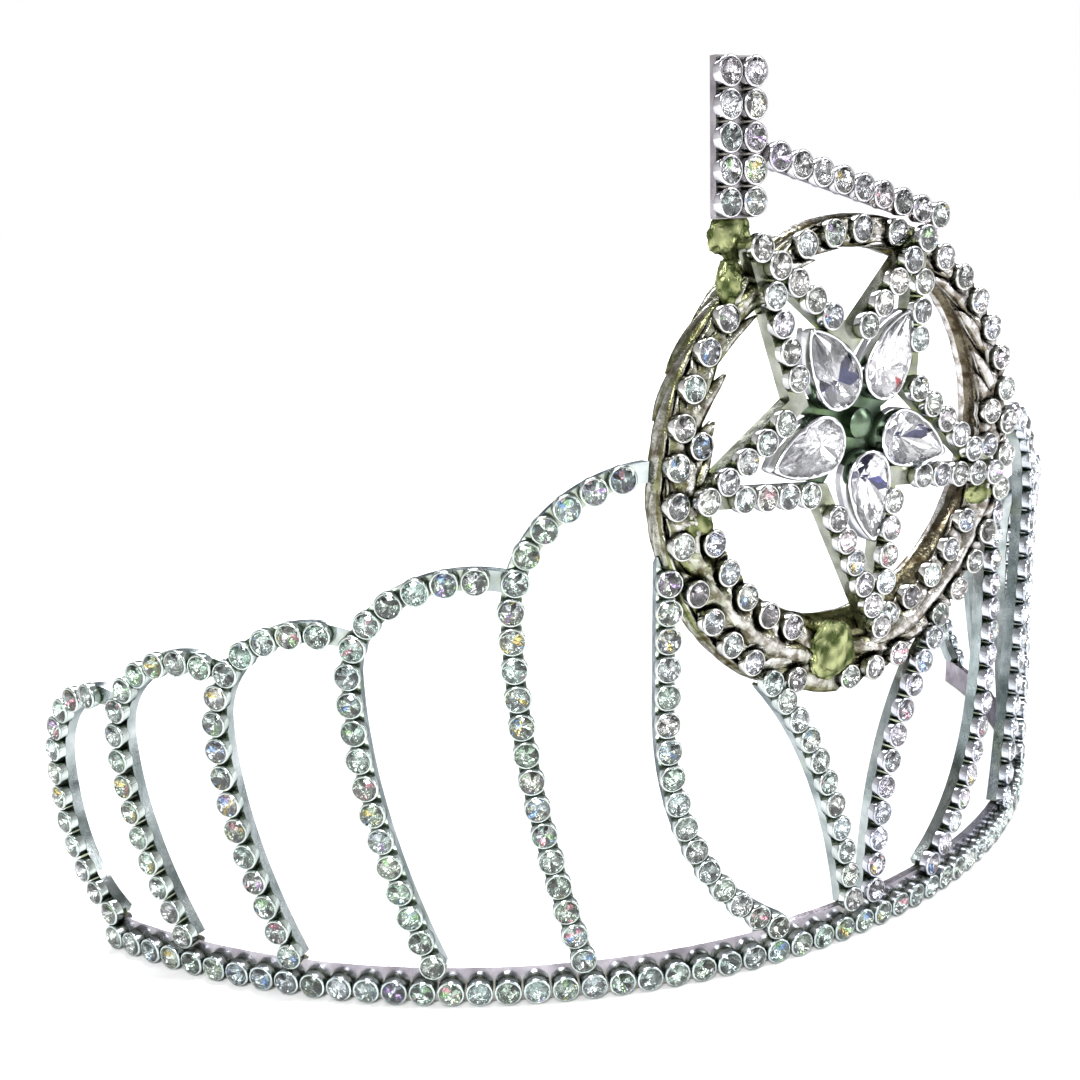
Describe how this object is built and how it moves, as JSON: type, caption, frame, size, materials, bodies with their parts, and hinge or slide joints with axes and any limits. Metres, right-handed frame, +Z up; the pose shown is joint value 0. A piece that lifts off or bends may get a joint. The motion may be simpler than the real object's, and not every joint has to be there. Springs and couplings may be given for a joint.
{
  "type": "bridal tiara",
  "caption": "Silver rhinestone tiara with stepped scallop sides, a wreath ring, a star with pear crystals and a gavel on top.",
  "frame": {"origin": "front middle of the band's underside, halfway through its thickness", "axes": "+Z up, -Y towards the front ornament, +X to the side, on the viewer's right from in front"},
  "size_m": [0.1566, 0.0597, 0.0986],
  "materials": {
    "crystal": "clear faceted crystal with a foil back",
    "pear_crystal": "clear pear-cut crystal with a foil back",
    "cup_metal": "bright silver plate",
    "strip_metal": "polished silver plate with a faint green cast in the corners",
    "cast_wreath": "cast, silver plated, dark in its grooves",
    "solder": "dull solder with an olive green tarnish"
  },
  "bodies": {
    "root": {"base_band": "strip_metal", "base_cups": "cup_metal", "base_stones": "crystal", "gavel_cups": "cup_metal", "gavel_handle_bar": "strip_metal", "gavel_head_plate": "strip_metal", "gavel_stones": "crystal", "left_centre_brace": "strip_metal", "left_ring_post": "strip_metal", "left_scallop_strip_1": "strip_metal", "left_scallop_strip_2": "strip_metal", "left_scallop_strip_3": "strip_metal", "left_scallop_strip_4": "strip_metal", "left_scallop_strip_5": "strip_metal", "left_support_cups": "cup_metal", "left_support_stones": "crystal", "left_wing_cups": "cup_metal", "left_wing_stones": "crystal", "pear_setting_1": "cup_metal", "pear_setting_2": "cup_metal", "pear_setting_3": "cup_metal", "pear_setting_4": "cup_metal", "pear_setting_5": "cup_metal", "pear_stone_1": "pear_crystal", "pear_stone_2": "pear_crystal", "pear_stone_3": "pear_crystal", "pear_stone_4": "pear_crystal", "pear_stone_5": "pear_crystal", "right_centre_brace": "strip_metal", "right_ring_post": "strip_metal", "right_scallop_strip_1": "strip_metal", "right_scallop_strip_2": "strip_metal", "right_scallop_strip_3": "strip_metal", "right_scallop_strip_4": "strip_metal", "right_scallop_strip_5": "strip_metal", "right_support_cups": "cup_metal", "right_support_stones": "crystal", "right_wing_cups": "cup_metal", "right_wing_stones": "crystal", "rosette_boss": "cup_metal", "solder_joints": "solder", "star_backing": "strip_metal", "star_cups": "cup_metal", "star_frame": "strip_metal", "star_stones": "crystal", "wreath_cups": "cup_metal", "wreath_ring": "cast_wreath", "wreath_stones": "crystal"}
  },
  "joints": []
}
